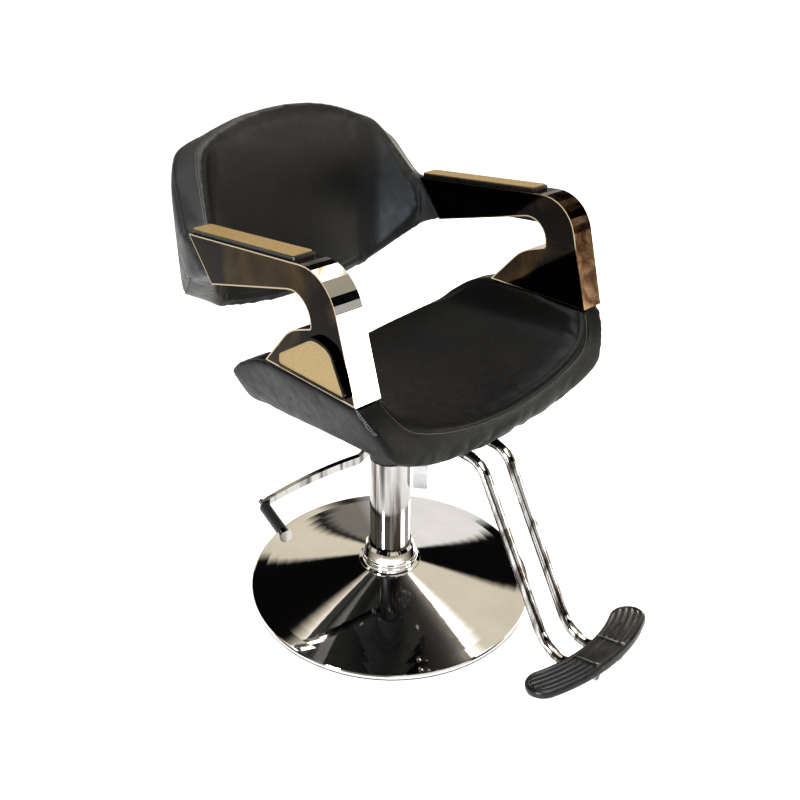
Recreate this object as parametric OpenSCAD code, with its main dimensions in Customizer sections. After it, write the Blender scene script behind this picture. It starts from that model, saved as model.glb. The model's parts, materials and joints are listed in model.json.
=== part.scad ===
// Hydraulic styling chair: a round dished base, a lifting and turning column,
// an upholstered bucket seat, box-section arms that carry a winged backrest,
// a twin-tube footrest and a foot-operated pump lever.
// Millimetres. Origin at the middle of the base on the floor, +Z up.
// The sitter faces -Y, and the sitter's left is +X.

/* [Base and column] */
// Diameter of the dished floor base
base_d = 600; // [540:10:640]
// Height of the dish where it meets the column collar
dish_h = 56; // [50:1:62]
// Outer diameter of the column tube
column_d = 84; // [80:1:86]
// Height of the top of the column tube
column_top = 314; // [300:1:314]
// Travel of the hydraulic lift
lift_travel = 150; // [100:5:150]

/* [Seat] */
// Height of the middle of the seat's front edge
seat_front_h = 543; // [540:1:560]
// Thickness of the upholstered seat at its front edge
seat_thick = 75; // [72:1:76]
// Radius of the cradle curve of the seat, seen from the front
seat_curve = 506; // [480:2:560]
// Fall of the seat towards its back, in mm per mm
seat_fall = 0.085; // [0.06:0.005:0.09]
// Half of the width between the side walls
wall_in = 250; // [246:1:252]
// Half of the width over the side walls
wall_out = 299; // [296:1:302]

/* [Arms] */
// Inner face of each arm, from the middle
arm_in = 250; // [248:1:254]
// Outer face of each arm, from the middle
arm_out = 300; // [296:1:304]
// Thickness of the bright band round each arm
band_t = 2.5; // [2:0.5:4]
// Length of the armrest pad
pad_len = 292; // [260:2:300]

/* [Backrest] */
// Height of the middle of the backrest's top edge
back_top = 966; // [950:2:990]
// Height of the middle of the backrest's bottom edge
back_bottom = 571; // [560:1:580]
// Padded thickness in the middle of the backrest
back_thick = 62; // [56:1:66]
// Distance of the backrest's flat front face behind the column axis
back_y = 292; // [288:1:300]

/* [Footrest and lever] */
// Outer diameter of the footrest tubes
foot_tube_d = 19.5; // [18:0.5:20]
// Half of the distance between the footrest tubes
foot_tube_x = 33; // [30:1:40]
// Tilt of the foot plate, front edge up
foot_tilt = 16; // [12:1:18]
// Direction of the pump lever, counted from +X
lever_az = 153.6; // [140:0.2:170]
// Reach of the pump lever from the column axis
lever_reach = 266; // [240:2:280]
// Direction of the sheet fin beside the column, counted from +X
fin_az = -46; // [-60:2:-30]

/* [Hidden] */
$fn = 64;

LEFT = 1;
RIGHT = -1;
floor_gap = 3;                          // underside of the base cover over the floor
rim_h = 12;                             // top of the base's rolled rim
cover_t = 2;
collar_top = 104;
weight_t = 10;
flange_z = floor_gap + 1 + weight_t;    // face the pump flange stands on
flange_t = 8;
cylinder_top = column_top - 26;
ram_r = 19;
guided = 98;                            // ram left in the cylinder at full lift
ram_low = cylinder_top - guided - lift_travel;
piston_h = 14;
spindle_r = 15;
running = 0.05;                         // radial clearance of a shaft in its bush
head_bottom = column_top + 5;
bearing_z = 350;                        // shoulder of the ram that carries the thrust bearing
plate_z = 404;                          // underside of the seat plate
plate_t = 6;
lever_z = 340;                          // height of the lever's pivot
pivot_r = 40;                           // and its distance from the column axis
pin_r = 4;
pin_l = 38;
slot_w = 12.6;
head_r = 45;
front_y = -288;                         // foremost point of the seat
band_back_y = -235;                     // back face of the seat's front band
centre_half = 214;                      // half width of the seat between its side walls
rear_band = 30;
arm_foot_z = 636;                       // where the arms stand on the side walls
tube_z = 438;                           // axis of the footrest tubes under the seat
tube_slope = 60;
foot_y = -503.8;                        // reference line across the foot plate
foot_z = 137;                           // tube axis under that line
foot_pad_t = 12.5;
chrome = [0.82, 0.83, 0.85];
smoked = [0.30, 0.28, 0.26];
black = [0.12, 0.12, 0.13];
steel = [0.55, 0.56, 0.58];
iron = [0.25, 0.25, 0.26];
tan_board = [0.72, 0.60, 0.38];
bronze = [0.70, 0.52, 0.25];
ply = [0.76, 0.62, 0.42];

// ---- shared shapes ----

function unit(v) = v / norm(v);
function at(c, i) = c[(i + len(c)) % len(c)];
function xy(c) = [c[0], c[1]];
function ramp(v, lo, hi) = min(1, max(0, (v - lo) / (hi - lo)));

// Corners [x, y, radius], counter-clockwise, turned into an outline with round corners
function rounded(c, n = 8) = [
    for (i = [0:len(c) - 1])
        let (p = xy(c[i]), r = c[i][2])
        let (u = unit(xy(at(c, i - 1)) - p), v = unit(xy(at(c, i + 1)) - p))
        let (half = acos(u * v) / 2, m = p + unit(u + v) * r / sin(half))
        let (s = p + u * r / tan(half) - m, e = p + v * r / tan(half) - m)
        let (a = atan2(s[1], s[0]), b = atan2(e[1], e[0]))
        let (sweep = (b - a + 540) % 360 - 180)
        for (k = [0:r > 0 ? n : 0])
            r > 0 ? m + r * [cos(a + sweep * k / n), sin(a + sweep * k / n)] : p
];

// The same corners moved in by d, with their radii changed to suit
function inset(c, d) = [
    for (i = [0:len(c) - 1])
        let (p = xy(c[i]), a = xy(at(c, i - 1)), b = xy(at(c, i + 1)))
        let (u = unit(a - p), v = unit(b - p), half = acos(u * v) / 2)
        let (turn = sign(cross(p - a, b - p)))
        let (q = p + unit(u + v) * turn * d / sin(half))
        [q[0], q[1], max(0, c[i][2] - turn * d)]
];

// Extrudes a (Y, Z) outline from x0 to x1
module across(x0, x1) {
    translate([x0, 0, 0])
        rotate([90, 0, 90])
            linear_extrude(x1 - x0)
                children();
}

// Skin over rings of an even number of points, closed at both ends by strips
// that join each ring's first half to its second half
module loft(rings) {
    n = len(rings[0]);
    m = len(rings);
    sides = [
        for (i = [0:m - 2], j = [0:n - 1])
            let (a = i * n + j, b = i * n + (j + 1) % n)
            each [[a, b + n, b], [a, a + n, b + n]]
    ];
    strip = [for (j = [0:n / 2 - 2]) each [[j, j + 1, n - 2 - j], [j, n - 2 - j, n - 1 - j]]];
    last = [for (t = strip) [t[2], t[1], t[0]] + (m - 1) * n * [1, 1, 1]];
    polyhedron(points = [for (r = rings) each r], faces = concat(strip, sides, last));
}

module ring(r_in, r_out, z0, z1) {
    translate([0, 0, z0])
        difference() {
            cylinder(r = r_out, h = z1 - z0);
            translate([0, 0, -1])
                cylinder(r = r_in, h = z1 - z0 + 2);
        }
}

module bolt(r, length, head_r, head_h) {
    cylinder(r = r, h = length);
    translate([0, 0, length])
        cylinder(r = head_r, h = head_h, $fn = 6);
}

module on_side(side) {
    if (side == LEFT)
        children();
    else
        mirror([1, 0, 0])
            children();
}

// ---- base and column ----

// Height of the dish's outer face at radius r: a shallow trumpet
function dish_z(r) = rim_h + (dish_h - rim_h) * pow(ramp(base_d / 2 - r, 4, base_d / 2 - 66), 1.12);

module base_cover() {
    r0 = base_d / 2;
    steps = [for (i = [0:10]) r0 - 4 - (r0 - 70) * i / 10];
    outer = [for (r = steps) [r, dish_z(r)]];
    inner = [for (i = [10:-1:0]) [steps[i], dish_z(steps[i]) - cover_t]];
    hub = [[column_d / 2 + 0.3, dish_h], [column_d / 2 + 0.3, dish_h - cover_t]];
    rim = [
        [r0 - 3, rim_h - 3], [r0 - 3, floor_gap], [r0, floor_gap], [r0, rim_h - 3],
        [r0 - 1.5, rim_h - 0.5]
    ];
    color(chrome)
        rotate_extrude($fn = 128)
            polygon(concat(outer, hub, inner, rim));
}

module base_weight() {
    color(iron)
        difference() {
            union() {
                translate([0, 0, floor_gap])
                    cylinder(r = base_d / 2 - 5, h = 5);
                translate([0, 0, floor_gap])
                    cylinder(r = base_d / 2 - 85, h = weight_t + 1);
            }
            for (a = [0:60:300])
                rotate([0, 0, a])
                    translate([56, 0, 0])
                        cylinder(r = 4.2, h = 40);
            for (a = [30:60:330])
                rotate([0, 0, a])
                    translate([150, 0, 0])
                        cylinder(r = 22, h = 40);
        }
}

module base_ring() {
    color(black)
        difference() {
            cylinder(r = base_d / 2 - 0.5, h = floor_gap);
            translate([0, 0, -1])
                cylinder(r = base_d / 2 - 20, h = floor_gap + 2);
        }
}

module base_bolts() {
    color(steel)
        for (a = [0:60:300])
            rotate([0, 0, a])
                translate([56, 0, floor_gap + 1])
                    bolt(4, weight_t + flange_t, 7, 5);
}

module column_collar() {
    r = column_d / 2 + 0.2;
    color(chrome)
        rotate_extrude($fn = 96)
            polygon(concat(
                [[r, dish_h], [r + 23, dish_h], [r + 23, dish_h + 3], [r + 17, dish_h + 5]],
                [for (a = [-80:20:80]) [r + 14 + 3.5 * cos(a), dish_h + 9 + 3.5 * sin(a)]],
                [for (a = [-80:20:80]) [r + 12 + 3.5 * cos(a), dish_h + 17 + 3.5 * sin(a)]],
                [[r + 12, dish_h + 24], [r + 9, collar_top - 6], [r + 4, collar_top], [r, collar_top]]));
}

module column_tube() {
    color(chrome)
        ring(column_d / 2 - 2.5, column_d / 2, flange_z + flange_t, column_top);
}

module pump_cylinder() {
    color(steel)
        difference() {
            union() {
                translate([0, 0, flange_z])
                    cylinder(r = 38, h = flange_t);
                ring(30, 70, flange_z, flange_z + flange_t);
                translate([0, 0, flange_z])
                    cylinder(r = 30, h = cylinder_top - flange_z);
            }
            translate([0, 0, flange_z + flange_t])
                cylinder(r = 24, h = column_top);
            for (a = [0:60:300])
                rotate([0, 0, a])
                    translate([56, 0, 0])
                        cylinder(r = 4.2, h = 60);
        }
}

module guide_bush() {
    color(bronze)
        ring(ram_r + running, column_d / 2 - 2.5, cylinder_top, column_top - 2);
}

module column_cap() {
    color(black)
        difference() {
            translate([0, 0, column_top - 2])
                cylinder(r = column_d / 2 - 2.6, h = 4);
            translate([0, 0, column_top - 3])
                cylinder(r = ram_r + 0.4, h = 8);
        }
}

// ---- lifting ram ----

module ram_rod() {
    color(steel) {
        translate([0, 0, ram_low])
            cylinder(r = ram_r, h = bearing_z - ram_low);
        translate([0, 0, bearing_z])
            cylinder(r = spindle_r, h = plate_z - 2 - bearing_z);
    }
}

module ram_piston() {
    color(steel)
        difference() {
            translate([0, 0, ram_low - piston_h])
                cylinder(r = 24 - running, h = piston_h);
            ring(22, 25, ram_low - 9, ram_low - 5);
        }
}

module thrust_bearing() {
    color(bronze)
        ring(spindle_r, 26, bearing_z, bearing_z + 8);
}

// ---- turning head, seat mounting ----

module swivel_head() {
    color(black)
        difference() {
            union() {
                translate([0, 0, head_bottom])
                    cylinder(r = head_r, h = plate_z - head_bottom - 12);
                translate([0, 0, plate_z - 12])
                    cylinder(r = 62, h = 12);
            }
            translate([0, 0, head_bottom - 1])
                cylinder(r = 29, h = 359.2 - head_bottom);
            translate([0, 0, 350])
                cylinder(r = spindle_r + running, h = 80);
            rotate([0, 0, lever_az]) {
                translate([20, -slot_w / 2, head_bottom - 1])
                    cube([40, slot_w, lever_z + 13 - head_bottom]);
                translate([pivot_r, pin_l / 2, lever_z])
                    rotate([90, 0, 0])
                        cylinder(r = pin_r, h = pin_l);
            }
        }
}

module plate_holes(r, z, h) {
    for (x = [-75, 75], y = [-75, 75])
        translate([x, y, z])
            cylinder(r = r, h = h);
}

module seat_plate() {
    color(iron)
        difference() {
            translate([-95, -95, plate_z])
                cube([190, 190, plate_t]);
            plate_holes(4.2, plate_z - 1, 20);
        }
}

module seat_plate_bolts() {
    color(steel)
        for (x = [-75, 75], y = [-75, 75])
            translate([x, y, plate_z + plate_t + 16])
                mirror([0, 0, 1])
                    bolt(4, 16 + plate_t, 6.5, 5);
}

module seat_rail(side) {
    low = plate_z + plate_t;
    color(iron)
        on_side(side)
            difference() {
                across(62, 88)
                    polygon([[-95, low], [110, low], [110, bottom_z(62, 110)], [-95, bottom_z(62, -95)]]);
                plate_holes(4, low - 1, 17);
            }
}

module lever_pin() {
    color(steel)
        rotate([0, 0, lever_az])
            translate([pivot_r, pin_l / 2, lever_z])
                rotate([90, 0, 0])
                    cylinder(r = pin_r, h = pin_l);
}

// Sheet fin that hangs from the head beside the column
module side_fin() {
    sheet = 2.5;
    top = plate_z - 12;
    color(steel)
        rotate([90, 0, fin_az])
            difference() {
                linear_extrude(sheet)
                    polygon(rounded([
                        [47, 238, 3], [77, 238, 3], [77, 302, 6],
                        [60, 306, 6], [60, top, 0], [47, top, 0]
                    ]));
                translate([54, 312, -1])
                    cylinder(r = 3, h = sheet + 2);
            }
}

// ---- pump lever ----

// Height of the lever arm's middle line at distance r from the column axis
function lever_line(r) = 320 - 0.16 * (r - 47) - 0.00085 * pow(r - 47, 2);
bar_dir = 102.5;                        // angle of the foot bar from the lever arm
bar_len = 117;
bar_z = lever_line(lever_reach);

module lever_frame() {
    rotate([0, 0, lever_az])
        children();
}

// Arched arm, from its eye on the pivot pin to the corner with the foot bar
module lever_arm() {
    steps = [for (i = [0:12]) 66 + (lever_reach - 66) * i / 12];
    upper = [for (r = steps) [r, lever_line(r) + 8.5 - 2 * (r - 66) / 200]];
    lower = [for (i = [12:-1:0]) [steps[i], lever_line(steps[i]) - 8.5 + 2 * (steps[i] - 66) / 200]];
    color(chrome)
        lever_frame()
            translate([0, 6, 0])
                rotate([90, 0, 0])
                    difference() {
                        union() {
                            linear_extrude(12)
                                polygon(concat(
                                    upper, lower,
                                    [[pivot_r + 1, lever_z - 9], [pivot_r + 1, lever_z + 9]]));
                            translate([pivot_r, lever_z, 0])
                                cylinder(r = 9, h = 12);
                        }
                        translate([pivot_r, lever_z, -1])
                            cylinder(r = pin_r + running, h = 14);
                    }
}

module along_bar(from) {
    lever_frame()
        translate([lever_reach - 2, 0, bar_z])
            rotate([0, 0, bar_dir])
                translate([from, 0, 0])
                    rotate([0, 90, 0])
                        children();
}

module foot_bar() {
    color(chrome)
        difference() {
            along_bar(-9)
                cylinder(r = 7.5, h = bar_len + 6);
            lever_frame()
                translate([lever_reach - 120, -6, bar_z - 30])
                    cube([120, 12, 60]);
        }
}

module foot_bar_grip() {
    color(black)
        along_bar(11)
            difference() {
                cylinder(r = 11, h = bar_len - 22);
                translate([0, 0, -1])
                    cylinder(r = 7.5, h = bar_len);
            }
}

module foot_bar_cap() {
    color(chrome)
        along_bar(bar_len - 11)
            difference() {
                cylinder(r = 12.5, h = 13);
                translate([0, 0, -1])
                    cylinder(r = 7.5, h = 9);
            }
}

// ---- seat ----

// Cradle curve of the seat seen from the front, over its lowest point
function cradle(x) = seat_curve - sqrt(seat_curve * seat_curve - x * x);
// Top line of the side walls
function ridge(y) = arm_foot_z - 0.0032 * pow(max(0, y + 40), 2);
function upper_base(x, y) = seat_front_h + cradle(min(abs(x), wall_in)) - seat_fall * (y - front_y);
// Upper face of the seat: the cradle, swept up to the side walls' top line
function upper_z(x, y) =
    let (w = pow(ramp(abs(x), 195, wall_in), 3))
    upper_base(x, y) + w * (ridge(y) - upper_base(wall_in, y));
function lower_base(x, y) = seat_front_h - seat_thick + cradle(x) - seat_fall * (y - front_y);
// Lower face of the seat: the cradle, then the outer faces of the side walls
function bottom_z(x, y) =
    let (a = abs(x), low = lower_base(min(a, 262), y))
    a < 262 ? low : low + (a - 262) / (wall_out - 262) * (ridge(y) - 5 - low);
// Outline of the back of the seat
function rear_y(x) = 185 - 60 * pow(abs(x) / 240, 2);
// Front face of the seat at height z
function face_y(z) = z > 540 ? front_y + 41 * pow((z - 540) / 97, 2) : front_y + 20 * pow((540 - z) / 72, 2);
// Rounding of the back edge: share of the thickness left at y
function roll(x, y) = max(0.2, sqrt(1 - pow(1 - ramp(rear_y(x) - y, 0, rear_band), 2)));
function upper_r(x, y) =
    let (m = (upper_z(x, y) + bottom_z(x, y)) / 2)
    m + (upper_z(x, y) - m) * roll(x, y);
function lower_r(x, y) =
    let (m = (upper_z(x, y) + bottom_z(x, y)) / 2)
    m + (bottom_z(x, y) - m) * roll(x, y);
function spread(a, b, n) = [for (i = [0:n]) a + (b - a) * i / n];

cushion_t = 48;
layer_gap = 0.9;                        // room left under the seat cushion

// Closed ring at x: lower line from front to back, then upper line back to front
function seat_ring(x, ys, lo, hi) = concat(
    [for (y = ys) [x, y, lo(x, y)]],
    [for (i = [len(ys) - 1:-1:0]) [x, ys[i], hi(x, ys[i])]]);

module seat_layer(lo, hi) {
    loft([for (x = spread(-centre_half, centre_half, 28))
        seat_ring(x, spread(band_back_y, rear_y(x) - rear_band, 6), lo, hi)]);
}

module seat_board() {
    color(ply)
        seat_layer(function (x, y) bottom_z(x, y), function (x, y) upper_z(x, y) - cushion_t);
}

module seat_cushion() {
    color(black)
        seat_layer(function (x, y) upper_z(x, y) - cushion_t + layer_gap, function (x, y) upper_z(x, y));
}

module seat_front_band() {
    half = wall_out - 3;
    color(black)
        loft([
            for (x = spread(-half, half, 40))
                let (lo = bottom_z(x, front_y), hi = upper_z(x, front_y))
                concat(
                    [[x, band_back_y, bottom_z(x, band_back_y)]],
                    [for (z = spread(lo, hi, 7)) [x, face_y(z), z]],
                    [[x, band_back_y, upper_z(x, band_back_y)]])
        ]);
}

module seat_rear_band() {
    color(black)
        loft([for (x = spread(-centre_half, centre_half, 28))
            seat_ring(x, spread(rear_y(x) - rear_band, rear_y(x), 6),
                function (x, y) lower_r(x, y), function (x, y) upper_r(x, y))]);
}

// Stations of a side wall from front to back, closer together round its rear end
function side_steps(x) =
    let (r = rear_y(x) - rear_band)
    concat(spread(band_back_y, r, 10), [for (a = [15:15:90]) r + rear_band * sin(a)]);

module seat_side(side) {
    color(black)
        on_side(side)
            difference() {
                loft([for (x = spread(centre_half, wall_out, 14))
                    seat_ring(x, side_steps(x),
                        function (x, y) lower_r(x, y),
                        function (x, y) max(lower_r(x, y) + 2, upper_r(x, y)))]);
                arm_frame_plate(0.2);
            }
}

// ---- arms ----

arm_corners = [
    [185, 800, 1.5], [-191, 832, 78], [-248, arm_foot_z, 0], [-22, arm_foot_z, 0],
    [-92, 712, 90], [-147, 731, 4], [-147, 791, 42], [125, 724, 1.5]
];
arm_inner = inset(arm_corners, band_t);
arm_mid = (arm_in + arm_out) / 2;
frame_t = 6;
plate_sheet = 2;

// Steel plate that ties the seat's side wall, the arm and the backrest together
module arm_frame_plate(gap) {
    c = [[-196, 596, 4], [-120, 596, 4], [-122, 660, 10], [-166, 700, 20], [-166, 770, 20],
        [212, 742, 4], [212, 774, 4], [-176, 800, 36], [-192, 770, 20]];
    across(arm_mid - frame_t / 2 - gap, arm_mid + frame_t / 2 + gap)
        polygon(rounded(inset(c, -gap)));
}

module arm_frame(side) {
    color(iron)
        on_side(side)
            arm_frame_plate(0);
}

module arm_core(side) {
    color(ply)
        on_side(side)
            difference() {
                across(arm_in + plate_sheet, arm_out - plate_sheet)
                    polygon(rounded(arm_inner));
                across(arm_in, arm_out)
                    translate([-300, arm_foot_z - 10])
                        square([400, 10 + band_t]);
                arm_frame_plate(0);
            }
}

module arm_band(side) {
    color(chrome)
        on_side(side)
            difference() {
                across(arm_in, arm_out)
                    polygon(rounded(arm_corners));
                across(arm_in - 1, arm_out + 1)
                    polygon(rounded(arm_inner));
                arm_frame_plate(0.2);
            }
}

module arm_plate(side, x0) {
    color(smoked)
        on_side(side)
            across(x0, x0 + plate_sheet)
                polygon(rounded(arm_inner));
}

inlay_corners = [[-72, 650, 4], [-73, 667, 9], [-163, 722, 40], [-200, 714, 24], [-231, 650, 3]];
pod_out = 9;
pod_rim = 5;
pod_pocket = 4;

module arm_pod(side) {
    color(smoked)
        on_side(side)
            difference() {
                across(arm_out, arm_out + pod_out)
                    polygon(rounded(inset(inlay_corners, -pod_rim)));
                across(arm_out + pod_out - pod_pocket, arm_out + pod_out + 1)
                    polygon(rounded(inlay_corners));
            }
}

module arm_inlay(side) {
    color(tan_board)
        on_side(side)
            across(arm_out + pod_out - pod_pocket, arm_out + pod_out - 1)
                polygon(rounded(inlay_corners));
}

// Frame of the armrest pad: origin on the band's top face at its rear end
module on_armrest() {
    fall = atan2(32, 376);
    translate([arm_mid, 185, 800])
        rotate([-fall, 0, 0])
            children();
}

module pad_slab(w, l, z0, z1) {
    c = 6;
    on_armrest()
        translate([0, 0, z0])
            linear_extrude(z1 - z0)
                polygon(rounded([[w / 2, -4, c], [-w / 2, -4, c], [-w / 2, -4 - l, c], [w / 2, -4 - l, c]]));
}

module armrest_pad(side) {
    color(black)
        on_side(side)
            pad_slab(41, pad_len, 0.1, 6.1);
}

module armrest_top(side) {
    color(tan_board)
        on_side(side)
            pad_slab(37, pad_len - 4, 6.1, 8.1);
}

// ---- backrest ----

wing_angle = 64;                        // turn of the wings out of the flat middle
end_angle = 86;                         // direction of the wings where they meet the arms
bend_r = 70;
flat_half = 155;
wing_run = 60;
wing_start = flat_half + bend_r * wing_angle * PI / 180;
end_start = wing_start + wing_run;
end_stop = end_start + bend_r * (end_angle - wing_angle) * PI / 180;

// Direction of the backrest's front face in plan, at distance s from the middle
function plan_angle(s) =
    let (a = abs(s), first = (min(a, wing_start) - flat_half) / bend_r * 180 / PI)
    let (second = (min(a, end_stop) - end_start) / bend_r * 180 / PI)
    max(0, first) + max(0, second);
// Point of that face, then its outward normal
function plan_point(s) =
    let (a = abs(s), f = plan_angle(s), g = min(f, wing_angle))
    let (run = min(wing_run, max(0, a - wing_start)), last = max(0, a - end_stop))
    [min(a, flat_half) + bend_r * sin(f) + run * cos(g) + last * cos(f),
        back_y - bend_r * (1 - cos(f)) - run * sin(g) - last * sin(f)];
function plan_normal(s) = [sin(plan_angle(s)), cos(plan_angle(s))];
function depth(s) = back_thick - 14 * ramp(abs(s), 200, 330);
function back_point(s, z, t) =
    let (p = plan_point(s) + plan_normal(s) * t * depth(s))
    [sign(s) * p[0], p[1], z];

// Half of the outline, over the width laid flat: bottom edge, arm end, top edge
border_w = 8;
layer_ends = [0, 0.45, 0.65, 1];        // shares of the depth: cushion, board, rear pad
rear_taper = 17;                        // how far the rear face's outline lies inside the front face's
back_corners = [[86, back_bottom, 740], [186, 594, 46], [320, 702, 60], [392, 732, 2],
    [345, 800, 2], [300, 805, 30], [213, 913, 62], [94, back_top, 430],
    [-200, back_top, 0], [-200, back_bottom, 0]];

function half_outline(d) = [for (p = rounded(inset(back_corners, d))) if (p[0] > -150) p];
function far_end(o) = max([for (p = o) p[0]]);
function end_height(o) =
    let (end = far_end(o))
    max([for (p = o) if (p[0] == end) p[1]]);
function top_edge(o) =
    let (z = end_height(o))
    [for (p = o) if (p[1] >= z) p];
function low_edge(o) =
    let (z = end_height(o))
    [for (p = o) if (p[1] <= z) p];

// Places across the backrest that all its layers share, and each layer's own two ends
function stations(reach) = [
    for (i = [-90:90])
        let (s = i * 4.2)
        if (abs(s) < reach - 2.1) s
        else if (abs(s) < reach + 2.1) sign(s) * reach
];

// How far out a layer whose outline is moved in by d still has its full depth
function tip(d) = far_end(half_outline(d + rear_taper)) - 2;

// Slab of the backrest through the depths ts, its outline moved in by d
module back_slab(ts, d, reach) {
    outlines = [for (t = ts) half_outline(d + t * rear_taper)];
    low = [for (o = outlines) low_edge(o)];
    top = [for (o = outlines) top_edge(o)];
    n = len(ts) - 1;
    loft([
        for (s = stations(reach))
            let (a = abs(s))
            concat(
                [for (i = [0:n]) back_point(s, lookup(a, low[i]), ts[i])],
                [for (i = [n:-1:0]) back_point(s, lookup(a, top[i]), ts[i])])
    ]);
}

// Line of the arms' cut rear ends, with a small gap
function end_y(z) = 125.3 + (z - 724) * 60 / 76;

// Room taken by the arms' rear ends and by the plates that stand out of them
module arm_ends() {
    for (side = [LEFT, RIGHT])
        on_side(side) {
            across(arm_in - 12, arm_out + 30)
                polygon([[-50, 650], [end_y(650), 650], [end_y(850), 850], [-50, 850]]);
            arm_frame_plate(0.2);
        }
}

// One of the layers inside the border
module back_layer(t0, t1) {
    difference() {
        back_slab([t0, t1], border_w, tip(border_w) - 1);
        arm_ends();
    }
}

module back_board() {
    color(ply)
        back_layer(layer_ends[1] + 0.004, layer_ends[2] - 0.004);
}

module back_cushion() {
    color(black)
        back_layer(layer_ends[0], layer_ends[1]);
}

module back_rear_pad() {
    color(black)
        back_layer(layer_ends[2], layer_ends[3]);
}

module back_border() {
    color(black)
        difference() {
            back_slab([0.03, layer_ends[1], layer_ends[2], 0.97], 0, tip(0));
            back_slab(layer_ends, border_w - 1, tip(border_w));
            arm_ends();
        }
}

// ---- footrest ----

tube_r = foot_tube_d / 2;
upper_bend = 45;
lower_bend = 60;
bend_top_y = -266;                      // where the level and sloping runs' axes meet
function slope_run(z) = bend_top_y - (tube_z - z) / tan(tube_slope);
// Where the sloping run's axis meets the axis under the foot plate
knee_z = (foot_z - tan(foot_tilt) * (slope_run(0) - foot_y)) / (1 + tan(foot_tilt) / tan(tube_slope));
knee_y = slope_run(knee_z);
turn_low = tube_slope + foot_tilt;

// Straight tube from one (Y, Z) point to another
module straight(a, b, r = tube_r) {
    d = b - a;
    translate([0, a[0], a[1]])
        rotate([-atan2(d[0], d[1]), 0, 0])
            cylinder(r = r, h = norm(d));
}

// Weld between a straight run and a bend, at (Y, Z) point p, along direction d
module weld(p, d) {
    straight(p - d, p + d, tube_r + 0.02);
}

// Tube bend about a (Y, Z) centre, between two angles counted from +Y
module bend(c, r, a0, a1) {
    translate([0, c[0], c[1]])
        rotate([90, 0, 90])
            rotate([0, 0, a0])
                rotate_extrude(angle = a1 - a0)
                    translate([r, 0])
                        circle(r = tube_r);
}

module footrest_tube() {
    top_t = upper_bend * tan(tube_slope / 2);
    low_t = lower_bend * tan(turn_low / 2);
    down = [-cos(tube_slope), -sin(tube_slope)];
    up = [-cos(foot_tilt), sin(foot_tilt)];
    level_end = [bend_top_y + top_t, tube_z];
    slope_top = [bend_top_y, tube_z] + down * top_t;
    slope_end = [knee_y, knee_z] - down * low_t;
    plate_start = [knee_y, knee_z] + up * low_t;
    straight([-100, tube_z], level_end);
    weld(level_end, [-1, 0]);
    bend(level_end - [0, upper_bend], upper_bend, 90, 90 + tube_slope);
    weld(slope_top, down);
    straight(slope_top, slope_end);
    weld(slope_end, down);
    bend(slope_end + lower_bend * [-sin(tube_slope), cos(tube_slope)], lower_bend,
        -90 + tube_slope - turn_low, -90 + tube_slope);
    weld(plate_start, up);
    straight(plate_start, [-547, foot_z + (foot_y + 547) * tan(foot_tilt)]);
}

module footrest_tube_at(side) {
    color(chrome)
        translate([side * foot_tube_x, 0, 0])
            footrest_tube();
}

module footrest_saddle() {
    color(iron)
        difference() {
            across(-55, 55)
                polygon([[-205, tube_z], [-110, tube_z], [-110, bottom_z(0, -110) - 0.3],
                    [-205, bottom_z(0, -205) - 0.3]]);
            for (x = [-foot_tube_x, foot_tube_x])
                translate([x, 0, 0])
                    straight([-80, tube_z], [-230, tube_z]);
            clamp_bolts();
        }
}

// Bolts that hold the clamp up against the saddle
module clamp_bolts() {
    for (y = [-185, -130], x = [0, 49.5])
        for (s = x > 0 ? [-1, 1] : [1])
            translate([s * x, y, tube_z + 10])
                mirror([0, 0, 1])
                    bolt(2.5, 24, 5, 4);
}

module footrest_bolts() {
    color(steel)
        clamp_bolts();
}

module footrest_clamp() {
    color(iron)
        difference() {
            translate([-55, -200, tube_z - 14])
                cube([110, 85, 14]);
            for (x = [-foot_tube_x, foot_tube_x])
                translate([x, 0, 0])
                    straight([-80, tube_z], [-230, tube_z]);
            clamp_bolts();
        }
}

plate_r_in = 255;
plate_r_out = 318;
plate_cy = plate_r_in + 2;
plate_end = 24.4;

// Crescent of the foot plate, seen from above, shrunk by d
function crescent(d) =
    let (mid = (plate_r_in + plate_r_out) / 2, w = (plate_r_out - plate_r_in) / 2 - d)
    concat(
        [for (a = spread(-plate_end, plate_end, 16)) [mid * sin(a), plate_cy - mid * cos(a)]
            + w * [sin(a), -cos(a)]],
        [for (a = spread(0, 180, 10)) [mid * sin(plate_end), plate_cy - mid * cos(plate_end)]
            + w * [sin(plate_end + a), -cos(plate_end + a)]],
        [for (a = spread(plate_end, -plate_end, 16)) [mid * sin(a), plate_cy - mid * cos(a)]
            - w * [sin(a), -cos(a)]],
        [for (a = spread(180, 360, 10)) [-mid * sin(plate_end), plate_cy - mid * cos(plate_end)]
            + w * [sin(-plate_end + a), -cos(-plate_end + a)]]);

module foot_frame() {
    translate([0, foot_y, foot_z])
        rotate([-foot_tilt, 0, 0])
            translate([0, 0, tube_r + 0.05])
                children();
}

module foot_plate_core() {
    color(iron)
        foot_frame()
            linear_extrude(3)
                polygon(crescent(8));
}

module foot_plate_pad() {
    color(black)
        foot_frame()
            difference() {
                linear_extrude(foot_pad_t)
                    polygon(crescent(0));
                translate([0, 0, -1])
                    linear_extrude(4)
                        polygon(crescent(8));
            }
}

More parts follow.
